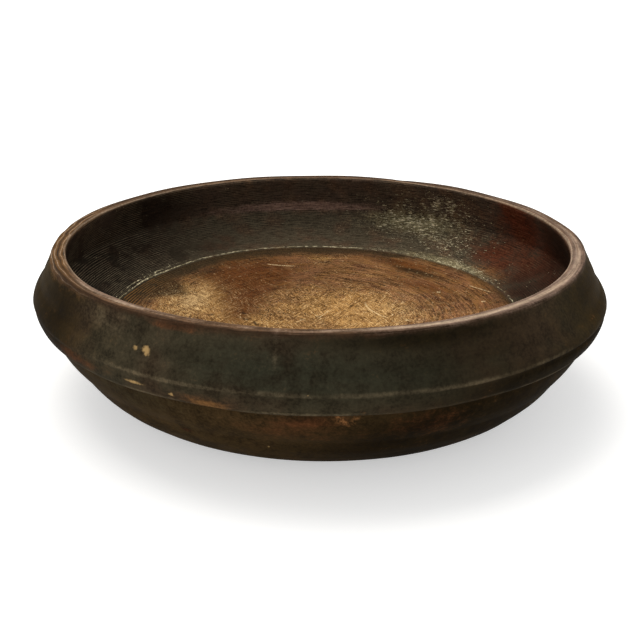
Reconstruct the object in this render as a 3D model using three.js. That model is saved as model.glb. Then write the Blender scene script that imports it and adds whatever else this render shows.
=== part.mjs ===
// A wide, shallow wooden bowl, turned on a lathe from one block: a foot ring, a body of three slight swells,
// a step, a bead, a swelling shoulder, a sloping neck and an incurved lip. Millimetres, +Z up, with the
// origin at the middle of the foot, where the bowl stands on the table.
import * as THREE from 'three';

// The lip. Radii are those of the round bowl as it was turned, and heights are from the table up.
const height = 91;
const mouthRadius = 152.8;
const lipWidth = 9;
const lipRounding = 2.2;
const lipGrooveWidth = 1.6;
const lipGrooveDepth = 0.5;

// Neck and shoulder, down to the shoulder's edge, and the quirk that is cut under that edge
const neckRadius = 169.1;
const neckHeight = 72.5;
const neckSwell = 0.3;
const shoulderRadius = 175;
const shoulderHeight = 62.8;
const shoulderSwell = 0.6;
const quirkWidth = 2;
const quirkDepth = 0.9;

// The bead under the shoulder ends in a sharp step
const stepRadius = 170.5;
const stepHeight = 51.3;
const stepDepth = 4.2;
const stepDrop = 1.5;
const beadSwell = 1;

// The body swells three times between the step and the foot, with a soft valley at each meeting
const upperValley = { radius: 154.2, height: 28 };
const lowerValley = { radius: 141.5, height: 12.3 };
const upperSwell = 1.9;
const middleSwell = 0.9;
const lowerSwell = 1.9;

// Foot and underside
const footRadius = 119;
const footRounding = 1;
const footRingWidth = 18;
const recessDepth = 4;
const recessCove = 6;
const centreMarkRadius = 3;
const centreMarkDepth = 1.5;

// The inside: an undercut wall with a line round it, a cove, a bead and a dished floor
const innerLineRadius = 160.8;
const innerLineHeight = 64.4;
const innerLineDepth = 0.7;
const innerLineWidth = 1.4;
const wallHollow = 0.8;
const coveRadius = 152;
const coveHeight = 50;
const floorRadius = 125;
const floorEdgeHeight = 45.8;
const floorBeadHeight = 0.8;
const floorBeadWidth = 2.4;
const floorCentreHeight = 38.5;

// Since it was turned, the wood has shrunk across its grain and the bowl is a little oval. The longer
// diameter has grown by this share over the round one, and the shorter has lost as much.
const ovality = 0.038;
const grainAngle = THREE.MathUtils.degToRad(-44);

const stepsAround = 90;

const point = (radius, z) => new THREE.Vector2(radius, z);

// Points along a bend that leaves `from` towards `corner` and arrives at `to`, without its first point
function bend(from, corner, to, steps) {
  return new THREE.QuadraticBezierCurve(from, corner, to).getPoints(steps).slice(1);
}

// The same from a straight line that swells by `rise` at its middle, out of the wood. Less than 0 is a hollow.
function swell(from, to, rise, steps) {
  const along = to.clone().sub(from).normalize();
  const middle = from.clone().lerp(to, 0.5);
  return bend(from, point(middle.x + 2 * rise * along.y, middle.y - 2 * rise * along.x), to, steps);
}

// Underside: the mark of the lathe's centre, the hollow within the foot ring, and the flat it stands on
function underside() {
  const ringInside = point(footRadius - footRingWidth, 0);
  const coveTop = point(ringInside.x - recessCove, recessDepth);
  const flatOutside = point(footRadius - footRounding, 0);
  return [
    point(0, recessDepth + centreMarkDepth),
    point(centreMarkRadius, recessDepth),
    coveTop,
    ...bend(coveTop, point(ringInside.x, recessDepth), ringInside, 3),
    flatOutside,
    point(footRadius, footRounding),
  ];
}

// Outside, from the foot up to the lip
function outside(lipOuter) {
  const foot = point(footRadius, footRounding);
  const low = point(lowerValley.radius, lowerValley.height);
  const high = point(upperValley.radius, upperValley.height);
  const underStep = point(stepRadius - stepDepth, stepHeight - stepDrop);
  const step = point(stepRadius, stepHeight);
  const beadTop = point(shoulderRadius - quirkDepth / 2, shoulderHeight - quirkWidth);
  const quirk = point(shoulderRadius - quirkDepth, shoulderHeight - quirkWidth / 2);
  const shoulder = point(shoulderRadius, shoulderHeight);
  const neck = point(neckRadius, neckHeight);
  return [
    ...swell(foot, low, lowerSwell, 4),
    ...swell(low, high, middleSwell, 4),
    ...swell(high, underStep, upperSwell, 4),
    step,
    ...swell(step, beadTop, beadSwell, 4),
    quirk,
    shoulder,
    ...swell(shoulder, neck, shoulderSwell, 4),
    ...swell(neck, lipOuter, neckSwell, 3),
  ];
}

// The lip: rounded at both edges, with a fine groove turned in its top
function lip(lipOuter) {
  const outerRadius = mouthRadius + lipWidth;
  const grooveRadius = mouthRadius + lipWidth / 2;
  const innerTop = point(mouthRadius + lipRounding, height);
  return [
    ...bend(lipOuter, point(outerRadius, height), point(outerRadius - lipRounding, height), 3),
    point(grooveRadius + lipGrooveWidth / 2, height),
    point(grooveRadius, height - lipGrooveDepth),
    point(grooveRadius - lipGrooveWidth / 2, height),
    innerTop,
    ...bend(innerTop, point(mouthRadius, height), point(mouthRadius, height - lipRounding), 3),
  ];
}

// Inside, from the lip down: the undercut wall, the line round it, the cove, the bead and the dished floor
function inside() {
  const wallTop = point(mouthRadius, height - lipRounding);
  const lineTop = point(innerLineRadius, innerLineHeight + innerLineWidth / 2);
  const lineBottom = point(innerLineRadius, innerLineHeight - innerLineWidth / 2);
  const beadOutside = point(floorRadius + floorBeadWidth / 2, floorEdgeHeight);
  const beadInside = point(floorRadius - floorBeadWidth / 2, floorEdgeHeight - floorBeadHeight);
  return [
    ...swell(wallTop, lineTop, -wallHollow, 4),
    point(innerLineRadius + innerLineDepth, innerLineHeight),
    lineBottom,
    ...bend(lineBottom, point(coveRadius, coveHeight), beadOutside, 7),
    point(floorRadius, floorEdgeHeight + floorBeadHeight),
    beadInside,
    ...bend(beadInside, point(floorRadius / 2, floorCentreHeight), point(0, floorCentreHeight), 5),
  ];
}

function turnedBowl() {
  const lipOuter = point(mouthRadius + lipWidth, height - lipRounding);
  const profile = [...underside(), ...outside(lipOuter), ...lip(lipOuter), ...inside()];
  const geometry = new THREE.LatheGeometry(profile, stepsAround);
  geometry.rotateX(Math.PI / 2);
  geometry.scale(1 + ovality, 1 - ovality, 1);
  return geometry;
}

const agedWood = new THREE.MeshStandardMaterial({ color: 0x3b2b1d, roughness: 0.62, metalness: 0 });

const bowl = new THREE.Mesh(turnedBowl(), agedWood);
bowl.name = 'bowl';
bowl.rotation.z = grainAngle;

const treenBowl = new THREE.Group();
treenBowl.add(bowl);

export default treenBowl;
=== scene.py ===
"""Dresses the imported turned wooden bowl: a finely turned and worn surface stands for its plain solid.

The bowl is one piece of wood, so one surface carries every finish: old dark paint outside, a rubbed lip, a
darkened wall with lime on it, and a bare, scratched floor. Sizes are in millimetres until the mesh is made.
"""
import logging
import math
from dataclasses import dataclass, field
from enum import Enum

import bpy
import numpy as np
from mathutils import Matrix, Vector


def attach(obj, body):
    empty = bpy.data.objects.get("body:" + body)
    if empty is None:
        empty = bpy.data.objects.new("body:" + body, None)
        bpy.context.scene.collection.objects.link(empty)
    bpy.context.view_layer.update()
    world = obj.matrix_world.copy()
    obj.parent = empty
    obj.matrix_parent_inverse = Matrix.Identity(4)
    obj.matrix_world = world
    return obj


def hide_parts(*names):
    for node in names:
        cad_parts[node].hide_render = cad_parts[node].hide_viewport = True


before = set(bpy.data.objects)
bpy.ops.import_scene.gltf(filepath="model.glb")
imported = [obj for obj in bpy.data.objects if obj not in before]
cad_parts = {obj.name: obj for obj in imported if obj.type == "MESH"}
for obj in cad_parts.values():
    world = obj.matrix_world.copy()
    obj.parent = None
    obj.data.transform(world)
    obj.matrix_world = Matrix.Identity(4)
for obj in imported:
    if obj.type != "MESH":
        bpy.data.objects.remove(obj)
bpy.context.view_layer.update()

MM = 0.001
TURN = 2 * math.pi
CURVE_STEPS = 40

logger = logging.getLogger("bowl")


class Edge(Enum):
    """The turned edges and lines that finishes and marks are measured from, in the order of the profile."""

    FOOT = "outer edge of the foot"
    UNDER_STEP = "corner under the step"
    STEP = "sharp edge of the step"
    QUIRK = "bottom of the groove under the shoulder"
    SHOULDER = "edge of the shoulder"
    KINK = "where the neck meets the shoulder"
    LIP_OUTER = "outer edge of the lip"
    CROWN = "groove in the top of the lip"
    LIP_INNER = "inner edge of the lip"
    LINE = "line round the inside wall"
    RING = "bead at the edge of the floor"
    CENTRE = "middle of the floor"


class Tone(Enum):
    """What a mark does to the finish that it lies on."""

    GOLD = "gold"
    RED = "red"
    DARK = "dark"
    GREEN = "green"
    PALE = "pale"
    FLAKES = "flakes"
    BARE = "bare"


def bend(start: np.ndarray, corner: np.ndarray, end: np.ndarray) -> np.ndarray:
    """Points of a quadratic curve: (1-t)^2 start + 2t(1-t) corner + t^2 end, for t from 0 to 1."""
    t = np.linspace(0, 1, CURVE_STEPS + 1)[:, None]
    return (1 - t) ** 2 * start + 2 * t * (1 - t) * corner + t ** 2 * end


def swell(start: np.ndarray, end: np.ndarray, rise: float) -> np.ndarray:
    """A bend whose middle stands off the chord by rise, out of the wood, or into it below 0."""
    along = (end - start) / np.linalg.norm(end - start)
    return bend(start, (start + end) / 2 + 2 * rise * np.array([along[1], -along[0]]), end)


def point(radius: float, height: float) -> np.ndarray:
    """A point of the profile."""
    return np.array([radius, height], float)


def smooth(value: np.ndarray, low: float, high: float) -> np.ndarray:
    """A soft step: 3t^2 - 2t^3, where t runs from 0 at low to 1 at high."""
    t = np.clip((value - low) / (high - low), 0, 1)
    return t * t * (3 - 2 * t)


def around(angle: np.ndarray, middle: float, width: float) -> np.ndarray:
    """A soft window round the bowl: exp(-(d / width)^2), where d is the angle from the middle, in degrees."""
    away = (np.degrees(angle) - middle + 180) % 360 - 180
    return np.exp(-(away / width) ** 2)


def stand(name: str, data: bpy.types.ID) -> bpy.types.Object:
    """Adds an object with that mesh, lamp or camera to the scene."""
    thing = bpy.data.objects.new(name, data)
    bpy.context.scene.collection.objects.link(thing)
    return thing


@dataclass
class Profile:
    """The turned profile as a list of stretches, each of which ends at a named edge."""

    stretches: list[tuple[Edge, float, np.ndarray]] = field(default_factory=list)

    def last(self) -> np.ndarray:
        """The point that the profile has come to."""
        return self.stretches[-1][2][-1]

    def add(self, edge: Edge, spacing: float, *parts: np.ndarray) -> None:
        """Adds a stretch that ends at an edge: the distance between its rings, and its curves in order."""
        self.stretches.append((edge, spacing, np.vstack(parts)))


@dataclass
class Foot:
    """Underside: the mark of the lathe's centre, the hollow inside the foot ring, and the ring's flat."""

    radius: float = 119.0
    rounding: float = 1.0
    ring_width: float = 18.0
    recess: float = 4.0
    cove: float = 6.0
    mark_radius: float = 3.0
    mark_depth: float = 1.5
    mark_swell: float = 0.2
    spacing: float = 5.0

    def turn(self, profile: Profile) -> None:
        """Adds the underside to the profile, from the axis to the foot's outer edge.

        Args:
            profile: The profile so far.
        """
        start = point(0, self.recess + self.mark_depth)
        mark = swell(start, point(self.mark_radius, self.recess), self.mark_swell)
        inside = point(self.radius - self.ring_width, 0)
        cove = bend(point(inside[0] - self.cove, self.recess), point(inside[0], self.recess), inside)
        flat = point(self.radius - self.rounding, 0)
        profile.add(Edge.FOOT, self.spacing, mark, cove, flat, point(self.radius, self.rounding))


@dataclass
class Body:
    """The lower body: three slight swells that meet in soft valleys."""

    low_valley: tuple[float, float] = (141.5, 12.3)
    high_valley: tuple[float, float] = (154.2, 28.0)
    top: tuple[float, float] = (166.6, 49.6)
    low_swell: float = 1.9
    middle_swell: float = 0.9
    high_swell: float = 1.8
    spacing: float = 1.7

    def turn(self, profile: Profile) -> None:
        """Adds the body to the profile, from the foot to the corner under the step.

        Args:
            profile: The profile so far.
        """
        low, high, top = point(*self.low_valley), point(*self.high_valley), point(*self.top)
        lower, middle = swell(profile.last(), low, self.low_swell), swell(low, high, self.middle_swell)
        profile.add(Edge.UNDER_STEP, self.spacing, lower, middle, swell(high, top, self.high_swell))


@dataclass
class Shoulder:
    """The sharp step, the bead above it, the groove under the shoulder, and the swelling shoulder."""

    step: tuple[float, float] = (170.6, 51.2)
    bead_swell: float = 1.0
    quirk: tuple[float, float] = (174.0, 61.6)
    quirk_width: float = 2.0
    quirk_depth: float = 0.35
    edge: tuple[float, float] = (175.1, 62.9)
    kink: tuple[float, float] = (170.0, 71.6)
    swell: float = 0.9
    spacing: float = 0.9

    def turn(self, profile: Profile) -> None:
        """Adds the step, bead and shoulder to the profile, up to the kink under the neck.

        Args:
            profile: The profile so far.
        """
        step, quirk, edge, kink = (point(*place) for place in (self.step, self.quirk, self.edge, self.kink))
        bead = swell(step, quirk + point(self.quirk_depth, -self.quirk_width / 2), self.bead_swell)
        profile.add(Edge.STEP, self.spacing, profile.last(), step)
        profile.add(Edge.QUIRK, self.spacing, bead, quirk)
        profile.add(Edge.SHOULDER, self.spacing, quirk, edge)
        profile.add(Edge.KINK, self.spacing, swell(edge, kink, self.swell))


@dataclass
class Lip:
    """The neck's slope and the incurved lip: rounded at both edges, with a fine groove in its top."""

    height: float = 91.0
    mouth_radius: float = 152.8
    width: float = 9.0
    rounding: float = 2.2
    groove_width: float = 1.6
    groove_depth: float = 0.5
    neck_swell: float = 0.15
    neck_spacing: float = 1.5
    spacing: float = 0.5

    def turn(self, profile: Profile) -> None:
        """Adds the neck and the lip to the profile, to the top of the inside wall.

        Args:
            profile: The profile so far.
        """
        inner, outer, top = self.mouth_radius, self.mouth_radius + self.width, self.height
        groove, half, low = self.mouth_radius + self.width / 2, self.groove_width / 2, top - self.rounding
        neck = swell(profile.last(), point(outer, low), self.neck_swell)
        profile.add(Edge.LIP_OUTER, self.neck_spacing, neck)
        rounded = bend(point(outer, low), point(outer, top), point(outer - self.rounding, top))
        bottom = point(groove, top - self.groove_depth)
        profile.add(Edge.CROWN, self.spacing, rounded, point(groove + half, top), bottom)
        rounded = bend(point(inner + self.rounding, top), point(inner, top), point(inner, low))
        profile.add(Edge.LIP_INNER, self.spacing, bottom, point(groove - half, top), rounded)


@dataclass
class Inside:
    """The undercut wall with a line round it, the cove, the bead round the floor, and the dished floor."""

    line_radius: float = 160.8
    line_height: float = 64.4
    line_depth: float = 0.7
    line_width: float = 1.4
    wall_hollow: float = 0.8
    cove_corner: tuple[float, float] = (152.0, 50.0)
    floor_radius: float = 125.0
    floor_height: float = 45.8
    bead_rise: float = 0.8
    bead_width: float = 2.4
    centre_height: float = 38.5
    wall_spacing: float = 1.8
    floor_spacing: float = 4.0

    def turn(self, profile: Profile) -> None:
        """Adds the wall and the floor to the profile, down to the axis.

        Args:
            profile: The profile so far.
        """
        radius, height, half = self.line_radius, self.line_height, self.line_width / 2
        line = point(radius + self.line_depth, height)
        wall = swell(profile.last(), point(radius, height + half), -self.wall_hollow)
        profile.add(Edge.LINE, self.wall_spacing, wall, line)
        outside = point(self.floor_radius + self.bead_width / 2, self.floor_height)
        inside = point(self.floor_radius - self.bead_width / 2, self.floor_height - self.bead_rise)
        bead = point(self.floor_radius, self.floor_height + self.bead_rise)
        cove = bend(point(radius, height - half), point(*self.cove_corner), outside)
        profile.add(Edge.RING, self.wall_spacing, line, cove, bead)
        corner = point(self.floor_radius / 2, self.centre_height)
        profile.add(Edge.CENTRE, self.floor_spacing, bead, bend(inside, corner, point(0, self.centre_height)))


@dataclass
class Turning:
    """The profile's rings: their radius, height, distance along it from the lip's crown, and normal."""

    radius: np.ndarray
    height: np.ndarray
    along: np.ndarray
    normal: np.ndarray
    edges: dict[Edge, float]

    @classmethod
    def of(cls, profile: Profile, softness: float) -> "Turning":
        """Spaces rings along a profile whose corners are softened first.

        The profile is walked in fine equal steps, each point becomes the mean of its neighbours weighted
        by exp(-(distance / softness)^2 / 2), and rings are set where the sum of step / spacing is whole.

        Args:
            profile: The stretches, from the middle of the underside to the middle of the floor.
            softness: Length over which corners are rounded.

        Returns:
            The rings, with along counted from the lip's crown, less than 0 outside.
        """
        fine, steps_between_spacings = 0.2, 41
        names, spacings, curves = zip(*profile.stretches)
        points = np.vstack(curves)
        length = np.r_[0, np.cumsum(np.linalg.norm(np.diff(points, axis=0), axis=1))]
        ends = length[np.cumsum([len(curve) for curve in curves]) - 1]
        walk = np.linspace(0, length[-1], int(length[-1] / fine) + 1)
        dense = np.column_stack([np.interp(walk, length, values) for values in points.T])
        reach = int(4 * softness / fine)
        kernel = np.exp(-(np.arange(-reach, reach + 1) * fine / softness) ** 2 / 2)
        kernel /= kernel.sum()
        padded = np.vstack([dense[reach:0:-1] * [-1, 1], dense, dense[-2:-reach - 2:-1] * [-1, 1]])
        dense = np.column_stack([np.convolve(values, kernel, "valid") for values in padded.T])
        spacing = np.array(spacings)[np.searchsorted(ends, walk).clip(max=len(spacings) - 1)]
        window = np.ones(steps_between_spacings) / steps_between_spacings
        spacing = np.convolve(np.pad(spacing, steps_between_spacings // 2, "edge"), window, "valid")
        count = np.r_[0, np.cumsum((1 / spacing[1:]) * np.diff(walk))]
        at = np.interp(np.linspace(0, count[-1], int(count[-1]) + 1), count, walk)
        tangent = np.gradient(dense, walk, axis=0)
        tangent /= np.linalg.norm(tangent, axis=1)[:, None]
        radius, height, out, up = (np.interp(at, walk, values) for values in (*dense.T, *tangent.T))
        crown = ends[names.index(Edge.CROWN)]
        edges = {name: float(end - crown) for name, end in zip(names, ends)}
        return cls(radius, height, at - crown, np.column_stack([up, -out]), edges)


@dataclass(frozen=True)
class Mark:
    """A stain, rubbed place, chip or scratch, or a painted shade or highlight: an oval on the surface.

    Its place is an angle round the bowl, in degrees, and a distance along the profile from the lip's
    crown, less than 0 outside. Its length runs round the bowl, and its width along the profile.
    """

    tone: Tone
    angle: float
    along: float
    length: float
    width: float
    strength: float = 1.0
    depth: float = 0.0

    def distance(self, skin: "Surface") -> np.ndarray:
        """Distance from the mark's middle, 1 at its edge: root((u / length)^2 + (v / width)^2), half sizes.

        On the floor u and v are measured on the plan, because angles run together there, and elsewhere
        round the bowl and along the profile.

        Args:
            skin: The surface that the mark lies on.

        Returns:
            The distance at each place, and far on the other side of the wood.
        """
        far, apart = 9.0, -20.0
        angle, edges = skin.angle - math.radians(self.angle), skin.turning.edges
        if self.along > edges[Edge.RING]:
            u = skin.radius * np.sin(angle)
            v = edges[Edge.CENTRE] - self.along - skin.radius * np.cos(angle)
        else:
            u = ((angle + math.pi) % TURN - math.pi) * skin.radius
            v = skin.along - self.along
        away = np.hypot(u / (self.length / 2), v / (self.width / 2))
        return np.where(skin.along * self.along < apart, far, away)


@dataclass
class Surface:
    """The bowl's skin on a grid of angle and ring: whole arrays, rings by rows and angles by columns."""

    turning: Turning
    columns: int
    angle: np.ndarray = field(init=False)
    radius: np.ndarray = field(init=False)
    height: np.ndarray = field(init=False)
    along: np.ndarray = field(init=False)

    def __post_init__(self) -> None:
        """Spreads the profile round the axis."""
        rings = (self.turning.radius, self.turning.height, self.turning.along)
        self.radius, self.height, self.along = (np.repeat(ring[:, None], self.columns, 1) for ring in rings)
        self.angle = np.broadcast_to(np.arange(self.columns) * TURN / self.columns, self.radius.shape)

    def window(self, middle: float, width: float) -> np.ndarray:
        """A soft window on the profile: exp(-(d / width)^2), where d is the distance from the middle."""
        return np.exp(-((self.along - middle) / width) ** 2)

    def shift(self, out: np.ndarray, up: np.ndarray | float) -> None:
        """Moves the skin away from the axis and up, by a distance at each place."""
        self.radius = self.radius + out
        self.height = self.height + up

    def raise_by(self, rise: np.ndarray) -> None:
        """Moves the skin out of the wood along the profile's normal: place + rise * normal."""
        self.shift(rise * self.turning.normal[:, :1], rise * self.turning.normal[:, 1:])

    def ripples(self, seed: int, count: int, turns: tuple[int, int],
                waves: tuple[float, float]) -> np.ndarray:
        """Seamless soft unevenness: seeded waves cos(n * angle + k * along + phase), over root(count / 2).

        Args:
            seed: Seed of the random draws.
            count: Number of waves that are added up.
            turns: Fewest and most waves in a full turn.
            waves: Shortest and longest wave along the profile.

        Returns:
            Unevenness at each place, with a spread of about 1.
        """
        draw = np.random.default_rng(seed)
        n = draw.integers(turns[0], turns[1] + 1, count) * draw.choice([-1, 1], count)
        k = TURN / draw.uniform(*waves, count)
        phase = draw.uniform(0, TURN, count)
        total = np.zeros_like(self.radius)
        for turn, wave, start in zip(n, k, phase):
            total += np.cos(turn * self.angle + wave * self.along + start)
        return total / math.sqrt(count / 2)

    def rings(self, seed: int, first: float, last: float, gap: tuple[float, float]) -> np.ndarray:
        """Turned rings: the sum of seeded heights times exp(-(d / width)^2) at seeded places on the profile.

        Args:
            seed: Seed of the random draws.
            first: Where the rings start on the profile.
            last: Where they end.
            gap: Smallest and largest distance between rings.

        Returns:
            Height of the rings at each place, of about -1 to 1.
        """
        most = 400
        draw = np.random.default_rng(seed)
        places = first + np.cumsum(draw.uniform(*gap, most))
        places = places[places < last]
        total = np.zeros_like(self.radius)
        for place, height in zip(places, draw.uniform(-1, 1, len(places))):
            total += height * self.window(place, (gap[0] + gap[1]) / 4)
        return total

    def places(self, ovality: float, grain: float) -> np.ndarray:
        """Points in metres: the round bowl drawn out along the grain by 1 + ovality and in by 1 - ovality.

        Args:
            ovality: Share by which the wood has drawn in and out.
            grain: Direction of the grain, in degrees.

        Returns:
            One point for each place, rows by columns by 3.
        """
        turn = math.radians(grain)
        x = self.radius * np.cos(self.angle - turn) * (1 + ovality)
        y = self.radius * np.sin(self.angle - turn) * (1 - ovality)
        c, s = math.cos(turn), math.sin(turn)
        return np.stack([c * x - s * y, s * x + c * y, self.height], axis=2) * MM


Number = "Shade | float"
Colour = tuple[float, float, float]


def linear(red: int, green: int, blue: int) -> Colour:
    """A colour as seen, 0 to 255, as linear light: ((c + 0.055) / 1.055)^2.4, or c / 12.92 where dark."""
    shares = (channel / 255 for channel in (red, green, blue))
    return tuple(c / 12.92 if c <= 0.04045 else ((c + 0.055) / 1.055) ** 2.4 for c in shares)


@dataclass(frozen=True, eq=False)
class Shade:
    """A node socket's value. Arithmetic on it adds Math nodes."""

    tree: "Tree"
    socket: bpy.types.NodeSocket

    def __add__(self, other: Number) -> "Shade":
        """Self + other."""
        return self.tree.math("ADD", self, other)

    def __sub__(self, other: Number) -> "Shade":
        """Self - other."""
        return self.tree.math("SUBTRACT", self, other)

    def __rsub__(self, other: Number) -> "Shade":
        """Other - self."""
        return self.tree.math("SUBTRACT", other, self)

    def __mul__(self, other: Number) -> "Shade":
        """Self * other."""
        return self.tree.math("MULTIPLY", self, other)

    __radd__ = __add__
    __rmul__ = __mul__


class Tree:
    """The node tree of a material or a world, and the nodes that the finishes are made of."""

    def __init__(self, owner: bpy.types.Material | bpy.types.World) -> None:
        """Clears the owner's tree."""
        owner.use_nodes = True
        self.nodes = owner.node_tree.nodes
        self.links = owner.node_tree.links
        self.nodes.clear()

    def add(self, kind: str, settings: dict, values: dict) -> bpy.types.Node:
        """Adds a node.

        Args:
            kind: The node's type.
            settings: Its settings, set first.
            values: Values or links of its sockets, by number, name or identifier.

        Returns:
            The node.
        """
        node = self.nodes.new(kind)
        for name, value in settings.items():
            setattr(node, name, value)
        for key, value in values.items():
            socket = self._socket(node.inputs, key)
            if isinstance(value, Shade):
                self.links.new(value.socket, socket)
            else:
                socket.default_value = value
        return node

    def node(self, kind: str, settings: dict, values: dict, output: int | str = 0) -> Shade:
        """Adds a node and gives one of its outputs, by number, name or identifier, as a shade."""
        return Shade(self, self._socket(self.add(kind, settings, values).outputs, output))

    @staticmethod
    def _socket(sockets: bpy.types.bpy_prop_collection, key: int | str) -> bpy.types.NodeSocket:
        """The socket of that number, identifier or name."""
        if isinstance(key, int):
            return sockets[key]
        exact = [socket for socket in sockets if socket.identifier == key]
        return exact[0] if exact else sockets[key]

    def math(self, operation: str, *values: Number) -> Shade:
        """A Math node on numbers."""
        return self.node("ShaderNodeMath", {"operation": operation}, dict(enumerate(values)))

    def most(self, first: Number, *others: Number) -> Shade:
        """The greatest of some values."""
        for other in others:
            first = self.math("MAXIMUM", first, other)
        return first

    def rise(self, value: Number, low: float, high: float) -> Shade:
        """A soft step from 0 at low to 1 at high, or back where high is less than low.

        Args:
            value: What is measured.
            low: Where the step is 0.
            high: Where it is 1.

        Returns:
            The step: 3t^2 - 2t^3, where t is the share of the way.
        """
        down = high < low
        values = {"Value": value, "From Min": min(low, high), "From Max": max(low, high)}
        values.update({"To Min": float(down), "To Max": float(not down)})
        return self.node("ShaderNodeMapRange", {"interpolation_type": "SMOOTHSTEP"}, values)

    def band(self, value: Number, middle: float, half: float, soft: float) -> Shade:
        """1 within half of the middle, falling to 0 over soft on both sides."""
        return self.rise(self.math("ABSOLUTE", value - middle), half + soft, half)

    def laid(self, colour: "Shade | Colour", *layers: tuple[Number, "Shade | Colour"]) -> Shade:
        """A colour with others laid over it in turn, each by the share that is given with it.

        Args:
            colour: The colour underneath.
            layers: The share and the colour of each layer.

        Returns:
            The last colour.
        """
        for share, over in layers:
            paint = [c if isinstance(c, Shade) else (*c, 1) for c in (colour, over)]
            values = {"Factor_Float": share, "A_Color": paint[0], "B_Color": paint[1]}
            settings = {"data_type": "RGBA", "clamp_factor": True}
            colour = self.node("ShaderNodeMix", settings, values, "Result_Color")
        return colour

    def tint(self, colour: "Shade | Colour", light: Number) -> Shade:
        """A colour times a number, as a vector."""
        return self.node("ShaderNodeVectorMath", {"operation": "SCALE"}, {0: colour, "Scale": light})

    def axis(self, vector: Shade, number: int) -> Shade:
        """One number of a vector: 0 for x, 1 for y and 2 for z."""
        return self.node("ShaderNodeSeparateXYZ", {}, {0: vector}, number)

    def turned(self, vector: Shade, degrees: float, x: float = 0.0, y: float = 0.0) -> Shade:
        """A vector as measured along axes turned by that angle about z, plus x and y."""
        values = {"Vector": vector, "Rotation": (0, 0, math.radians(-degrees)), "Location": (x, y, 0.0)}
        return self.node("ShaderNodeMapping", {}, values)

    def stretched(self, vector: Shade, scale: tuple[float, float, float], offset: float = 0.0) -> Shade:
        """A vector times scale, plus offset on every axis."""
        values = {0: vector, 1: scale, 2: (offset,) * 3}
        return self.node("ShaderNodeVectorMath", {"operation": "MULTIPLY_ADD"}, values)

    def noise(self, vector: Shade, scale: tuple[float, float, float], detail: float, rough: float,
              offset: float) -> Shade:
        """Noise of about 0.25 to 0.75, in cells of the size 1 / scale.

        Args:
            vector: Where it is read.
            scale: Cells per unit on each axis.
            detail: Number of finer layers.
            rough: Strength of each finer layer.
            offset: Shift that makes one noise differ from another.

        Returns:
            The noise.
        """
        place = self.stretched(vector, scale, offset)
        values = {"Vector": place, "Scale": 1.0, "Detail": detail, "Roughness": rough}
        return self.node("ShaderNodeTexNoise", {}, values)

    def attribute(self, name: str, output: int = 2) -> Shade:
        """A named attribute of the mesh: output 2 is a number, and 1 a vector."""
        return self.node("ShaderNodeAttribute", {"attribute_name": name}, {}, output)

    def seen(self) -> Shade:
        """1 for rays from the camera, from gloss and through glass, which see the background itself."""
        rays = ("Is Camera Ray", "Is Glossy Ray", "Is Transmission Ray")
        return self.most(*(self.node("ShaderNodeLightPath", {}, {}, ray) for ray in rays))

    def surface(self, values: dict) -> None:
        """Ends a material's tree in a shader with these values."""
        shader = self.node("ShaderNodeBsdfPrincipled", {}, values)
        self.add("ShaderNodeOutputMaterial", {}, {"Surface": shader})


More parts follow.
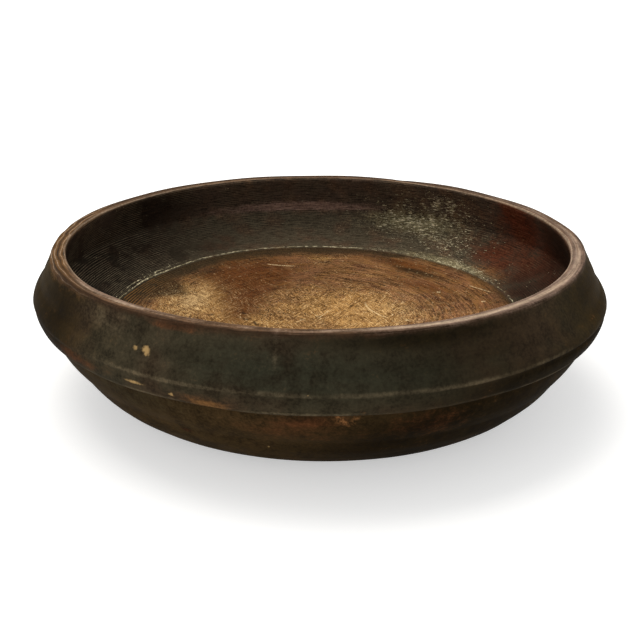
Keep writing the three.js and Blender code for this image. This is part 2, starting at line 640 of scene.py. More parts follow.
@dataclass
class Patterns:
    """The coordinates and the shared patterns that the bowl's finishes are made of, in mm."""

    tree: Tree
    edges: dict[Edge, float]
    grain_angle: float
    place: Shade = field(init=False)
    turning: Shade = field(init=False)
    along: Shade = field(init=False)
    side: Shade = field(init=False)
    front: Shade = field(init=False)
    grain: Shade = field(init=False)

    def __post_init__(self) -> None:
        """Reads object coordinates, the turning attribute, and the grain's own directions.

        The turning attribute is the cosine and sine of the angle round the bowl and the distance along
        the profile. The side is that cosine: 1 at the bowl's right and -1 at its left. The front is less
        the sine: 1 at the front and -1 at the back.
        """
        tree = self.tree
        self.place = tree.stretched(tree.node("ShaderNodeTexCoord", {}, {}, "Object"), (1 / MM,) * 3)
        self.turning = tree.attribute("turning", 1)
        self.side, self.along = tree.axis(self.turning, 0), tree.axis(self.turning, 2)
        self.front = 0.0 - tree.axis(self.turning, 1)
        self.grain = tree.turned(self.place, self.grain_angle)

    def cloud(self, size: float, offset: float, detail: float = 3.0, rough: float = 0.55) -> Shade:
        """Shapeless noise with patches of a size."""
        return self.tree.noise(self.place, (1 / size,) * 3, detail, rough, offset)

    def thread(self, turns: float, pitch: float, offset: float, detail: float = 2.0) -> Shade:
        """Streaks that run round the bowl: turns sets how many there are in a turn, pitch their width."""
        return self.tree.noise(self.turning, (turns, turns, 1 / pitch), detail, 0.6, offset)

    def fibre(self, length: float, width: float, offset: float, detail: float = 3.0) -> Shade:
        """Streaks along the grain."""
        return self.tree.noise(self.grain, (1 / length, 1 / width, 1 / width), detail, 0.6, offset)

    def streaks(self, direction: float, length: float, width: float, offset: float) -> Shade:
        """Straight streaks across the floor in one direction, in degrees."""
        lines = self.tree.turned(self.place, direction)
        return self.tree.noise(lines, (1 / length, 1 / width, 1 / length), 1.5, 0.5, offset)

    def scratch(self, direction: float, length: float, width: float, offset: float) -> Shade:
        """Sparse straight scratches in one direction: 1 on a scratch, else 0."""
        return self.tree.rise(self.streaks(direction, length, width, offset), 0.62, 0.72)

    def tool_lines(self, pitch: float) -> Shade:
        """Even tool lines: (1 + sin(turn * along / pitch)) / 2, which waver and in places fade away.

        Args:
            pitch: Distance from one line to the next.

        Returns:
            0 between the lines, 1 on them.
        """
        waver = self.thread(3.0, 9.0, 3.7) * 9.0
        wave = self.tree.math("SINE", self.along * (TURN / pitch) + waver) * 0.5 + 0.5
        return (wave - 0.5) * self.tree.rise(self.cloud(26.0, 27.0), 0.34, 0.58) + 0.5

    def marked(self, tone: Tone, *uneven: tuple[Shade, float], low: float = 0.1,
               high: float = 1.0) -> Shade:
        """Where a tone's marks are, with edges broken by noise.

        Args:
            tone: The tone.
            uneven: Noises and how strongly each breaks the edges.
            low: Strength of the marks at which they begin to show.
            high: Strength at which they show in full.

        Returns:
            0 where there is none of the tone, 1 where it is full.
        """
        share = self.tree.attribute(tone.value)
        for noise, strength in uneven:
            share = share + (noise - 0.5) * strength
        return self.tree.rise(share, low, high)

    def stained(self, colour: Shade, layers: dict[Tone, tuple[Colour, float, float, float]], cloudy: Shade,
                gritty: Shade, drawn: tuple[Shade, float]) -> Shade:
        """A colour with the marks of some tones laid over it.

        Args:
            colour: The colour under the marks.
            layers: Each tone's colour, its share, and how strongly the coarse and the fine noise break it.
            cloudy: The coarse noise.
            gritty: The fine noise.
            drawn: Streaks, and how strongly they break every tone.

        Returns:
            The colour with its marks.
        """
        for tone, (hue, share, coarse, fine) in layers.items():
            place = self.marked(tone, (cloudy, coarse), (gritty, fine), drawn)
            colour = self.tree.laid(colour, (place * share, hue))
        return colour


@dataclass(frozen=True)
class Cut:
    """One scratch: its middle, direction, length, width, and how far it bows.

    On the floor it is placed on the plan, and on the front by its place to the right and along the profile.
    """

    x: float
    y: float
    direction: float
    length: float
    width: float = 0.7
    bow: float = 0.0

    def share(self, place: Shade) -> Shade:
        """1 close to the line v = bow * (2u / length)^2, falling to 0 over the width beside it.

        Args:
            place: The place that is measured, in mm.

        Returns:
            Where the scratch is.
        """
        tree, turn = place.tree, math.radians(self.direction)
        c, s = math.cos(turn), math.sin(turn)
        local = tree.turned(place, self.direction, -(c * self.x + s * self.y), s * self.x - c * self.y)
        u, v = tree.axis(local, 0), tree.axis(local, 1)
        across = tree.band(v - u * u * (4 * self.bow / self.length ** 2), 0.0, self.width / 4, self.width)
        return across * tree.band(u, 0.0, self.length * 0.35, self.length * 0.15)


@dataclass
class Coat:
    """What one coat shows: its colour, roughness, and height in mm."""

    colour: Shade
    roughness: Number
    height: Number

    def under(self, over: "Coat", share: Shade) -> "Coat":
        """This coat with another over it where share is 1: under + share * (over - under).

        Args:
            over: The coat that is laid on.
            share: Where it covers.

        Returns:
            Both as one coat.
        """
        colour = share.tree.laid(self.colour, (share, over.colour))
        roughness = self.roughness + share * (over.roughness - self.roughness)
        return Coat(colour, roughness, self.height + share * (over.height - self.height))


@dataclass(frozen=True)
class BareFloor:
    """Bare wood of the floor: warm brown, golden where it is rubbed, crossed by grain and by scratches."""

    brown: Colour = linear(130, 92, 56)
    dark: Colour = linear(86, 55, 31)
    mauve: Colour = linear(122, 82, 56)
    gold: Colour = linear(189, 142, 82)
    tan: Colour = linear(120, 84, 45)
    red: Colour = linear(92, 50, 20)
    soot: Colour = linear(38, 28, 17)
    pale: Colour = linear(236, 208, 158)
    # Colour of the painted shade at the floor's edge, inside the bead.
    margin_shade: Colour = linear(52, 43, 29)
    cuts: tuple[Cut, ...] = (
        Cut(36, 6, -66, 34, 0.7, 4.0),
        Cut(5, 2, 62, 16, 0.5),
        Cut(1, 0, -62, 14, 0.5),
        Cut(-10, -8, 48, 12, 0.5),
        Cut(109, 29, -52, 22, 0.5),
        Cut(-24, 92, -8, 22, 0.8, 1.0),
        Cut(82, 31, 0, 3, 1.2),
        Cut(57, -14, 0, 3, 1.4),
        Cut(108, 7, 0, 3, 1.2),
    )
    cracks: tuple[Cut, ...] = (
        Cut(-67, 1, 20, 4, 1.2),
        Cut(-44, -6, -30, 5, 1.2),
        Cut(-38, -13, -70, 9, 1.2, 1.0),
        Cut(-46, 5, -40, 4, 1.4),
    )

    def coat(self, p: Patterns) -> Coat:
        """Wood by its grain, then rubbed gold, pale places that are partly a painted highlight, stains,
        scratches with painted glints, and painted shade in a dark margin at the floor's edge.

        Args:
            p: The coordinates and patterns of the bowl.

        Returns:
            The coat.
        """
        tree = p.tree
        fibre, turned, hatch = p.fibre(16.0, 0.9, 1.3), p.thread(5.0, 1.3, 23.0, 3.0), self._hatch(p)
        grit = tree.rise(p.cloud(0.8, 4.4, 2.0, 0.8), 0.38, 0.62)
        stain, patch = p.cloud(24.0, 17.0, 5.0, 0.65), p.cloud(7.0, 31.0, 4.0, 0.7)
        wood = tree.laid(
            self.dark,
            (tree.rise(stain * 0.4 + turned * 0.4 + fibre * 0.2, 0.42, 0.58), self.brown),
            (tree.rise(p.cloud(19.0, 47.0, 4.0), 0.42, 0.6) * 0.6, self.mauve),
            (tree.rise(p.thread(4.0, 4.0, 81.0, 4.0), 0.5, 0.62) * 0.7, self.tan),
        )
        wood = tree.tint(wood, 0.46 + grit * 0.55 + tree.rise(turned, 0.38, 0.62) * 0.6)
        uneven = ((p.cloud(15.0, 2.2, 5.0, 0.65), 1.7), (grit, 0.35), (turned, 0.7))
        rubbed = p.marked(Tone.GOLD, *uneven, low=0.2, high=1.2)
        bright = tree.rise(patch * 0.6 + grit * 0.14 + hatch * 0.1, 0.31, 0.50)
        # Pale places: rubbed wood, partly a painted highlight on the floor's lighter patches.
        worn = p.marked(Tone.PALE, (patch, 1.6), (hatch, 0.5), (grit, 0.6), high=1.3)
        stained = p.marked(Tone.RED, (stain, 1.5), (patch, 0.5), (turned, 0.6), (hatch, 0.35), (grit, 0.35))
        # Painted highlight: small pale glints on the rubbed gold, laid in together with the scratches.
        glints = tree.rise(hatch * 0.5 + grit * 0.5, 0.76, 0.94) * rubbed * 0.4
        broken = 0.12 + grit * 0.7
        scratches_and_glints = glints + p.scratch(-47.0, 16.0, 0.6, 14.0) * 0.1
        scratches_and_glints = tree.most(scratches_and_glints, *(cut.share(p.place) * broken for cut in self.cuts))
        specks = tree.rise(p.cloud(1.5, 51.0, 1.0), 0.69, 0.75)
        pits = tree.rise(p.cloud(2.4, 11.0, 1.0), 0.69, 0.74)
        pits = tree.most(pits, *(crack.share(p.place) for crack in self.cracks)) * 0.8
        pits = tree.most(pits, p.scratch(66.0, 6.0, 0.9, 33.0) * 0.4)
        colour = tree.laid(
            wood,
            (rubbed, tree.laid(self.tan, (bright, self.gold))),
            (worn * 0.4, self.pale),
            (stained * (0.55 + grit * 0.4), self.red),
            (p.marked(Tone.DARK, (patch, 1.2), (turned, 0.6)) * 0.8, self.soot),
            (scratches_and_glints + specks * 0.4, self.pale),
            (pits, self.soot),
        )
        right, left = tree.rise(p.side, 0.25, 0.7), tree.rise(p.side, -0.78, -0.93)
        veins = tree.rise(fibre, 0.36, 0.64)
        light = 0.18 + grit * 0.34 + hatch * 0.36 + veins * 0.28 + turned * 0.35 + right * 0.18
        lines, edge = p.tool_lines(2.0), p.edges[Edge.RING]
        golden = left * tree.rise(lines + (patch - 0.5) * 1.2, 0.55, 0.85)
        # Painted shade: a dark margin on the floor just inside the bead, with the tool lines showing in it.
        shaded = tree.tint(self.margin_shade, lines * 0.9 + grit * 0.7 + 0.15)
        uneven_edge = p.along + (stain - 0.5) * 16.0 + (patch - 0.5) * 10.0 + right * 9.0
        margin_shade = tree.rise(uneven_edge, edge + 19.0, edge + 8.0)
        shaded = tree.laid(shaded, (golden * 0.8, self.tan))
        colour = tree.laid(tree.tint(colour, light), (margin_shade * 0.85, shaded))
        height = fibre * 0.15 + grit * 0.12 + hatch * 0.1 + turned * 0.12 - scratches_and_glints * 0.2 - pits * 0.35
        return Coat(colour, 0.6 - rubbed * 0.1 + grit * 0.1, height + lines * margin_shade * 0.2)

    @staticmethod
    def _hatch(p: Patterns) -> Shade:
        """Fine scratches in two directions, one of them here and the other there, from 0 to 1.

        Args:
            p: The coordinates and patterns of the bowl.

        Returns:
            The scratches.
        """
        crossed = p.tree.rise(p.cloud(12.0, 43.0, 2.0), 0.44, 0.56)
        one, other = p.streaks(-69.0, 7.0, 0.55, 40.0), p.streaks(56.0, 7.0, 0.6, 46.0)
        return p.tree.rise(one * crossed + other * (1.0 - crossed), 0.34, 0.66)


@dataclass(frozen=True)
class DarkWall:
    """The inside wall: darkened wood with tool lines, rubbed red at one side, and black marks that are
    painted shade at its back and left.
    """

    black: Colour = linear(26, 20, 15)
    umber: Colour = linear(75, 62, 51)
    brown: Colour = linear(86, 66, 51)
    olive: Colour = linear(80, 71, 56)
    red: Colour = linear(92, 38, 18)
    grey_green: Colour = linear(118, 109, 80)
    rose: Colour = linear(144, 116, 102)
    gold: Colour = linear(134, 90, 52)

    def coat(self, p: Patterns) -> Coat:
        """Umber above, a rosy strip at the line, olive below, then tool lines, stains, black marks that are
        partly painted shade, and painted highlights on the tool lines' crests.

        Args:
            p: The coordinates and patterns of the bowl.

        Returns:
            The coat.
        """
        tree, line = p.tree, p.edges[Edge.LINE]
        lines = (p.tool_lines(1.5) - 0.5) * (1.0 - p.side * 0.5) + 0.5
        fine, broad = p.thread(20.0, 0.9, 9.2, 3.0), p.thread(2.0, 6.0, 5.5)
        mottle, grit = p.cloud(14.0, 1.7, 4.0), p.cloud(1.3, 19.0, 2.0, 0.75)
        colour = tree.laid(
            self.umber,
            (tree.rise(p.along + (broad - 0.5) * 14.0, line - 3.0, line + 5.0), self.olive),
            (tree.rise(mottle, 0.42, 0.66) * 0.7, self.brown),
        )
        layers = {
            Tone.PALE: (self.rose, 0.8, 0.5, 0.6),
            Tone.RED: (self.red, 0.75, 1.1, 0.6),
            Tone.GOLD: (self.gold, 0.8, 0.9, 0.5),
            Tone.GREEN: (self.grey_green, 0.75, 1.0, 1.4),
            # Partly painted shade: the black marks at the back and left paint the wall's shaded side darker.
            Tone.DARK: (self.black, 0.85, 0.5, 0.4),
        }
        colour = p.stained(colour, layers, mottle, grit, (fine, 0.8))
        # Painted highlight: pale olive glints on the crests of the tool lines, over the dark stains.
        colour = tree.laid(colour, (tree.rise(lines + fine * 0.5, 0.95, 1.2) * 0.75, self.olive))
        light = 0.02 + lines * 0.6 + tree.rise(fine, 0.3, 0.7) * 0.8 + tree.rise(grit, 0.34, 0.66) * 0.5
        height = lines * 0.25 + fine * 0.3 + grit * 0.15
        return Coat(tree.tint(colour, light), 0.56 + lines * 0.12, height)


@dataclass(frozen=True)
class Lime:
    """Pale crust: a crisp broken line at the floor's edge, and flakes that lie along the tool lines."""

    cream: Colour = linear(232, 218, 178)
    grey: Colour = linear(160, 148, 112)

    def cover(self, under: Coat, p: Patterns) -> Coat:
        """Lays the crust over a coat, where the flakes attribute and the floor's edge have it.

        Args:
            under: The coat that the crust lies on.
            p: The coordinates and patterns of the bowl.

        Returns:
            Both as one coat.
        """
        tree, ring = p.tree, p.edges[Edge.RING]
        density = tree.attribute(Tone.FLAKES.value)
        grains = tree.noise(p.turning, (54.0, 54.0, 1.5), 2.5, 0.9, 21.0)
        mist = tree.rise(grains + density * 0.19 + (p.cloud(9.0, 61.0) - 0.5) * 0.25, 0.72, 0.77) * 0.7
        flakes = tree.noise(p.turning, (34.0, 34.0, 1.0), 2.0, 0.5, 77.0)
        flakes = tree.most(mist, tree.rise(flakes + density * 0.18, 0.77, 0.795))
        waver, broken = (p.thread(9.0, 4.0, 17.0) - 0.5) * 1.6, p.thread(34.0, 1.0, 31.0, 3.0)
        hidden = tree.band(p.side, 0.66, 0.3, 0.14) * 0.12
        line = tree.band(p.along + waver, ring - 0.3, 0.3, 0.6) * tree.rise(broken - hidden, 0.4, 0.58)
        left = tree.rise(p.side, -0.62, -0.85)
        for away, gap in ((-4.0, 0.5), (4.5, 0.52)):
            beside = tree.band(p.along - waver, ring + away, 0.2, 0.5) * tree.rise(broken, gap, gap + 0.1)
            line = tree.most(line, beside * left)
        share = tree.most(flakes, line * (0.4 + tree.rise(grains, 0.46, 0.58) * 0.6))
        colour = tree.laid(self.cream, (tree.rise(p.cloud(3.0, 22.0), 0.45, 0.6), self.grey))
        return under.under(Coat(colour, 0.85, 0.5), share)


@dataclass(frozen=True)
class OldPaint:
    """Old dark paint outside: olive and brown in clouds, thin at the edges, reddish wood where it is gone,
    with painted highlights along the shoulder's edge and the step, and painted shade at the sides and under
    the shoulder.
    """

    olive: Colour = linear(62, 55, 41)
    green: Colour = linear(40, 43, 33)
    brown: Colour = linear(68, 55, 41)
    body: Colour = linear(65, 49, 27)
    ochre: Colour = linear(58, 44, 18)
    umber: Colour = linear(22, 15, 4)
    # Rubbed paint, also the colour of the painted highlights along the shoulder's edge and the step.
    rubbed: Colour = linear(106, 93, 72)
    red: Colour = linear(84, 49, 29)
    honey: Colour = linear(116, 82, 48)
    tan: Colour = linear(196, 160, 106)
    scrape: Colour = linear(158, 108, 66)
    strokes: tuple[Cut, ...] = (Cut(12.6, -57.2, -44, 11, 2.0), Cut(20.0, -52.5, 69, 19, 1.8, 1.0))

    def coat(self, p: Patterns) -> Coat:
        """Clouds of colour, brush streaks, rubbed edges with painted highlights, and the marks that lie on
        the paint, painted shade among them.

        Args:
            p: The coordinates and patterns of the bowl.

        Returns:
            The coat.
        """
        tree, step = p.tree, p.edges[Edge.STEP]
        big, fine = p.cloud(46.0, 3.1), p.cloud(1.7, 5.2, 3.0, 0.7)
        patches, streaks = p.cloud(11.0, 8.8, 5.0, 0.65), p.thread(7.0, 2.2, 6.6, 3.0)
        low = tree.rise(p.along + (patches - 0.5) * 10.0, step + 1.0, step - 5.0)
        ends = tree.rise(p.side * p.side + (patches - 0.5) * 0.4, 0.4, 0.9)
        clouds = tree.rise(big, 0.4, 0.62)
        clouds = ((clouds, self.brown), (low * 0.85, self.body), (ends * 0.9, self.ochre))
        colour = tree.laid(self.olive, *clouds)
        layers = {
            Tone.GREEN: (self.green, 0.85, 1.0, 0.4),
            # Partly rubbed paint, partly painted highlights along the shoulder's edge and the step.
            Tone.PALE: (self.rubbed, 0.6, 0.6, 0.6),
            # Mostly painted shade: the dark marks darken the bowl's sides and the groove under the shoulder.
            Tone.DARK: (self.umber, 0.85, 0.7, 0.3),
            Tone.RED: (self.red, 0.75, 1.1, 0.5),
            Tone.GOLD: (self.honey, 0.85, 0.9, 0.7),
        }
        colour = p.stained(colour, layers, patches, fine, (streaks, 0.4))
        # Painted highlight, partly rubbed paint, along the shoulder's edge and the step.
        colour = tree.laid(colour, (self._rubbed_and_highlit_edges(p, fine), self.rubbed))
        mottle, grain = tree.rise(patches, 0.36, 0.64), tree.rise(fine, 0.34, 0.66)
        colour = tree.tint(colour, 0.2 + mottle * 0.62 + grain * 0.44 + streaks * 0.5)
        front = tree.node("ShaderNodeCombineXYZ", {}, {0: tree.axis(p.place, 0), 1: p.along})
        scraped = tree.rise(p.front, 0.0, 0.5) * mottle * grain
        bare = p.marked(Tone.BARE, (fine, 0.5), low=0.5, high=0.78)
        colour = tree.laid(colour, *((stroke.share(front) * scraped, self.scrape) for stroke in self.strokes))
        colour = tree.laid(colour, (bare * 0.85, self.tan))
        return Coat(colour, 0.6 + fine * 0.2, fine * 0.2 + streaks * 0.16 - bare * 0.3)

    def _rubbed_and_highlit_edges(self, p: Patterns, fine: Shade) -> Shade:
        """Where the paint is rubbed and a highlight is painted on: the shoulder's edge and the step,
        unevenly.

        Args:
            p: The coordinates and patterns of the bowl.
            fine: Fine noise that breaks the rubbed places.

        Returns:
            How strongly the rubbed paint and the painted highlight show.
        """
        tree = p.tree
        patchy = tree.rise(p.thread(4.0, 10.0, 12.3, 4.0), 0.42, 0.6)
        along = p.along + (p.thread(8.0, 9.0, 71.0) - 0.5) * 2.0
        shoulder = tree.band(along, p.edges[Edge.SHOULDER] + 0.9, 0.2, 2.0)
        step = tree.band(along, p.edges[Edge.STEP] + 1.0, 0.2, 2.2)
        front = tree.rise(p.side, -0.85, -0.55)
        return (shoulder * 0.35 + step * 0.5) * (0.1 + patchy) * (0.4 + fine) * front


@dataclass(frozen=True)
class RubbedLip:
    """The lip, where the paint has gone: honey wood, greyed and pale where hands hold it, in fine ridges; the
    pale is partly a painted highlight.
    """

    brown: Colour = linear(108, 80, 56)
    grey: Colour = linear(80, 60, 43)
    pale: Colour = linear(148, 124, 109)
    cream: Colour = linear(204, 179, 152)
    honey: Colour = linear(110, 76, 36)
    umber: Colour = linear(52, 37, 26)
    red: Colour = linear(66, 37, 24)
    groove: Colour = linear(38, 27, 17)

    def coat(self, p: Patterns) -> Coat:
        """Wood in streaks, honey and ridged at one side, pale at the other with a painted highlight along the
        top that is strongest at the front, dark down the chamfer.

        Args:
            p: The coordinates and patterns of the bowl.

        Returns:
            The coat.
        """
        tree = p.tree
        streaks, cloud, grit = p.thread(8.0, 0.9, 2.9, 3.0), p.cloud(18.0, 7.7), p.cloud(1.5, 35.0, 2.0, 0.75)
        mottle = tree.rise(p.cloud(5.0, 37.0, 3.0), 0.36, 0.64)
        honey = p.marked(Tone.GOLD, (cloud, 0.8), (streaks, 0.9))
        pale = p.marked(Tone.PALE, (cloud, 0.7), (streaks, 0.9), (grit, 0.5))
        dark = p.marked(Tone.DARK, (cloud, 0.8), (streaks, 0.7), (grit, 0.4))
        chamfer = tree.rise(p.along + (streaks - 0.5) * 3.0, -1.6, -4.6)
        under = tree.laid(self.umber, (p.marked(Tone.RED, (cloud, 0.8), (grit, 0.5)), self.red))
        ridges = tree.math("SINE", p.along * (TURN / 3.9) + (cloud - 0.5) * 7.0 + 1.2)
        drawn = tree.rise(p.thread(5.0, 1.6, 53.0, 3.0), 0.36, 0.64)
        along = p.along + (streaks - 0.5) * 1.4
        # Painted highlight: the cream along the lip's top grows towards the front.
        crest_highlight = 0.1 + tree.rise(p.front, 0.3, 0.8) * 0.3
        colour = tree.laid(
            self.grey,
            (tree.rise(streaks, 0.35, 0.65), self.brown),
            (honey * 0.85, self.honey),
            (dark * 0.7, self.umber),
            (chamfer * (1.0 - honey * 0.8) * 0.85, under),
            (pale * (0.4 + drawn * 0.4), self.pale),
            (pale * tree.band(along, -0.2, 0.7, 1.8) * (crest_highlight + drawn * 0.3), self.cream),
            (tree.band(along, 4.0, 0.2, 0.9) * (0.05 + grit * 0.65), self.cream),
            (honey * tree.rise(ridges, 0.2, 0.85) * (0.5 + drawn * 0.4), self.groove),
            (honey * tree.rise(ridges, -0.75, -1.0) * grit * 0.7, self.cream),
        )
        colour = tree.tint(colour, 0.02 + grit * 0.8 + streaks * 0.9 + mottle * 0.2)
        return Coat(colour, 0.5 + streaks * 0.12, streaks * 0.25 + grit * 0.1)


@dataclass
class AgedWood:
    """The bowl's one material: the finishes, each on its own stretch of the profile, with worn meetings."""

    grain_angle: float
    edges: dict[Edge, float]
    specular: float = 0.015
    bump: float = 0.6

    def make(self) -> bpy.types.Material:
        """Lays the finishes over one another and links them to the shader.

        Returns:
            The material.
        """
        material = bpy.data.materials.new("aged_wood")
        tree = Tree(material)
        p = Patterns(tree, self.edges, self.grain_angle)
        lip, wall, floor = (self.edges[edge] for edge in (Edge.LIP_OUTER, Edge.LIP_INNER, Edge.RING))
        wear = (p.cloud(5.0, 15.0) - 0.5) * 2.4
        worn = tree.math("MINIMUM", tree.attribute(Tone.GOLD.value), 1.0) * 3.5
        on_lip = tree.rise(p.along + wear * 1.5 + worn, lip - 1.5, lip + 3.0)
        rounded = wall - 3.2 + p.side * p.side * 1.8
        on_wall = tree.rise(p.along + wear * 0.4 - rounded, 0.0, 1.3)
        on_floor = tree.rise(p.along + wear * 0.6, floor + 0.6, floor + 2.6)
        coat = OldPaint().coat(p).under(RubbedLip().coat(p), on_lip)
        coat = coat.under(Lime().cover(DarkWall().coat(p), p), on_wall).under(BareFloor().coat(p), on_floor)
        bumps = {"Strength": self.bump, "Distance": MM, "Height": coat.height}
        tree.surface({
            "Base Color": coat.colour,
            "Roughness": coat.roughness,
            "Normal": tree.node("ShaderNodeBump", {}, bumps),
            "Specular IOR Level": self.specular,
        })
        return material


Places = dict[Tone, tuple[tuple[float, ...], ...]]

# Where the marks are. Each is an angle, a distance along the profile, a length, a width, a strength and,
# where it is also a hollow, a depth, as in Mark. Some are painted shade or painted highlights. First the
# rubbed and stained places of the floor.
FLOOR: Places = {
    Tone.GOLD: (
        (161, 118, 74, 50, 1.2), (-172, 152, 60, 46, 0.7), (60, 180, 90, 60, 0.85), (20, 160, 70, 50, 0.6),
        (-90, 170, 130, 80, 0.6), (84, 96, 40, 7, 0.8),
    ),
    # Pale floor marks: rubbed wood, partly a painted highlight.
    Tone.PALE: ((163, 118, 56, 26, 0.8), (8, 150, 60, 50, 0.35)),
    Tone.RED: (
        (119, 114, 66, 52, 1.15), (139, 140, 40, 34, 0.8), (167, 153, 52, 20, 1.0), (52, 90, 60, 14, 0.75),
        (30, 112, 60, 24, 0.6), (-60, 110, 90, 40, 0.4),
    ),
    Tone.DARK: (
        (45, 98, 44, 7, 1.3), (62, 90, 26, 6, 0.6), (156, 94, 30, 18, 0.9), (158, 106, 16, 14, 0.6),
        (160, 92, 34, 14, 0.4), (132, 96, 24, 10, 0.6), (8, 132, 14, 18, 0.5), (-140, 105, 60, 30, 0.5),
    ),
    Tone.FLAKES: ((30, 82, 50, 12, 0.6),),
}

# Crust, stains, rubbed places and painted shade of the inside wall and cove
WALL: Places = {
    Tone.GREEN: ((60, 37, 76, 22, 0.9), (40, 72, 90, 12, 1.0)),
    Tone.FLAKES: (
        (55, 34, 116, 56, 0.8), (49, 17, 50, 20, 0.3), (64, 37, 54, 16, 0.3), (44, 55, 50, 20, 0.45),
        (34, 71, 76, 11, 0.8), (66, 73, 110, 5, 0.7), (151, 71, 60, 8, 0.7),
    ),
    Tone.RED: (
        (26, 13, 34, 32, 0.9), (31, 50, 44, 28, 0.55), (10, 40, 130, 80, 0.75), (-170, 50, 60, 20, 0.3),
    ),
    Tone.GOLD: ((26, 66, 50, 14, 0.7),),
    # Dark marks: from 136 to 176 degrees painted shade on the back and left of the wall; the others darken
    # the right.
    Tone.DARK: (
        (136, 14, 90, 34, 0.8), (176, 12, 90, 30, 0.5), (168, 54, 250, 64, 1.3), (6, 22, 70, 44, 0.9),
        (8, 62, 90, 40, 0.7), (-20, 50, 90, 70, 0.6),
    ),
    Tone.PALE: ((92, 29, 120, 7, 1.4),),
}

# The lip: honey at the left, pale at the right, partly a painted highlight, dark at the back, and last its
# nicks
LIP: Places = {
    Tone.GOLD: ((182, -2, 170, 13, 1.5), (120, -1, 110, 14, 0.5)),
    # Pale lip marks: worn wood, partly a painted highlight.
    Tone.PALE: ((-38, 0.5, 270, 10, 1.3), (32, 1, 110, 8, 0.25), (-138, 2.5, 100, 5, 0.9)),
    Tone.RED: ((-117, -5, 50, 4, 0.5), (-84, -5, 80, 4, 0.35)),
    Tone.DARK: (
        (46, -0.5, 120, 5, 1.4), (106, -0.8, 220, 4.4, 1.3), (140, -4, 160, 4, 0.6),
        (-105.8, -4, 8, 6, 0.5, 0.9), (-122, -4.5, 10, 4, 0.3, 0.5), (172, -5, 14, 5, 0.4, 0.6),
        (64, -4, 9, 4, 0.3, 0.5),
    ),
}

# Chips, stains, rubbed places, painted highlights and painted shade of the painted outside
OUTSIDE: Places = {
    Tone.BARE: (
        (-125.5, -22.2, 3.2, 2.6, 0.95), (-123.1, -21.4, 4.4, 3.6, 1.0), (-122.7, -23.6, 2.8, 3.4, 0.95),
        (-124.8, -41, 12, 1.9, 0.9), (-117.3, -42.8, 2.6, 2.8, 0.95), (-102, -85.2, 2.4, 1.8, 0.9),
        (-93.5, -34, 2.2, 1.4, 0.8),
    ),
    Tone.GOLD: ((-89.5, -56, 12, 6, 0.45, 0.3), (-110.8, -46.5, 20, 9, 1.0, 0.3)),
    # Pale marks: the narrow ones are painted highlights along the shoulder's edge and the step, the others
    # rubbed paint on the neck.
    Tone.PALE: (
        (-118, -34.6, 84, 2.2, 0.9), (-99.2, -14, 3.2, 20, 0.6), (-136, -12, 42, 13, 0.55),
        (-60, -34.5, 90, 2.4, 0.9), (-97, -47.4, 50, 2.6, 1.2),
    ),
    Tone.RED: (
        (-112, -45, 50, 12, 0.5), (-119.3, -81.4, 7, 3.5, 1.2), (-141, -41, 50, 9, 0.65),
        (-93, -56, 36, 10, 0.6), (-98, -64, 70, 20, 0.45), (-72, -64, 50, 20, 0.5), (-119, -7.5, 36, 3, 0.6),
    ),
    Tone.GREEN: (
        (-100, -24, 130, 40, 0.7), (-72, -28, 80, 30, 0.5), (-130, -58, 90, 30, 0.5), (-60, -70, 60, 30, 0.4),
    ),
    # Dark marks: painted shade on the bowl's right side, at its left end and in the groove under the shoulder
    # at the right; the others darken the neck and the back.
    Tone.DARK: (
        (-45, -80, 220, 76, 1.9), (-35, -42, 130, 11, 1.2), (-64, -14, 120, 40, 0.5), (-26, -13, 80, 26, 0.5),
        (-78, -8, 120, 10, 0.5), (178, -30, 130, 46, 0.6), (-5, -34, 110, 34, 0.4), (-152, -20, 70, 50, 0.8),
        (-158, -44, 90, 20, 0.6), (-155, -75, 130, 60, 0.6), (80, -40, 420, 130, 0.55),
    ),
}


def all_marks() -> list[Mark]:
    """Every mark of the bowl, from the floor out to the foot."""
    zones = (FLOOR, WALL, LIP, OUTSIDE)
    return [Mark(tone, *values) for zone in zones for tone, places in zone.items() for values in places]


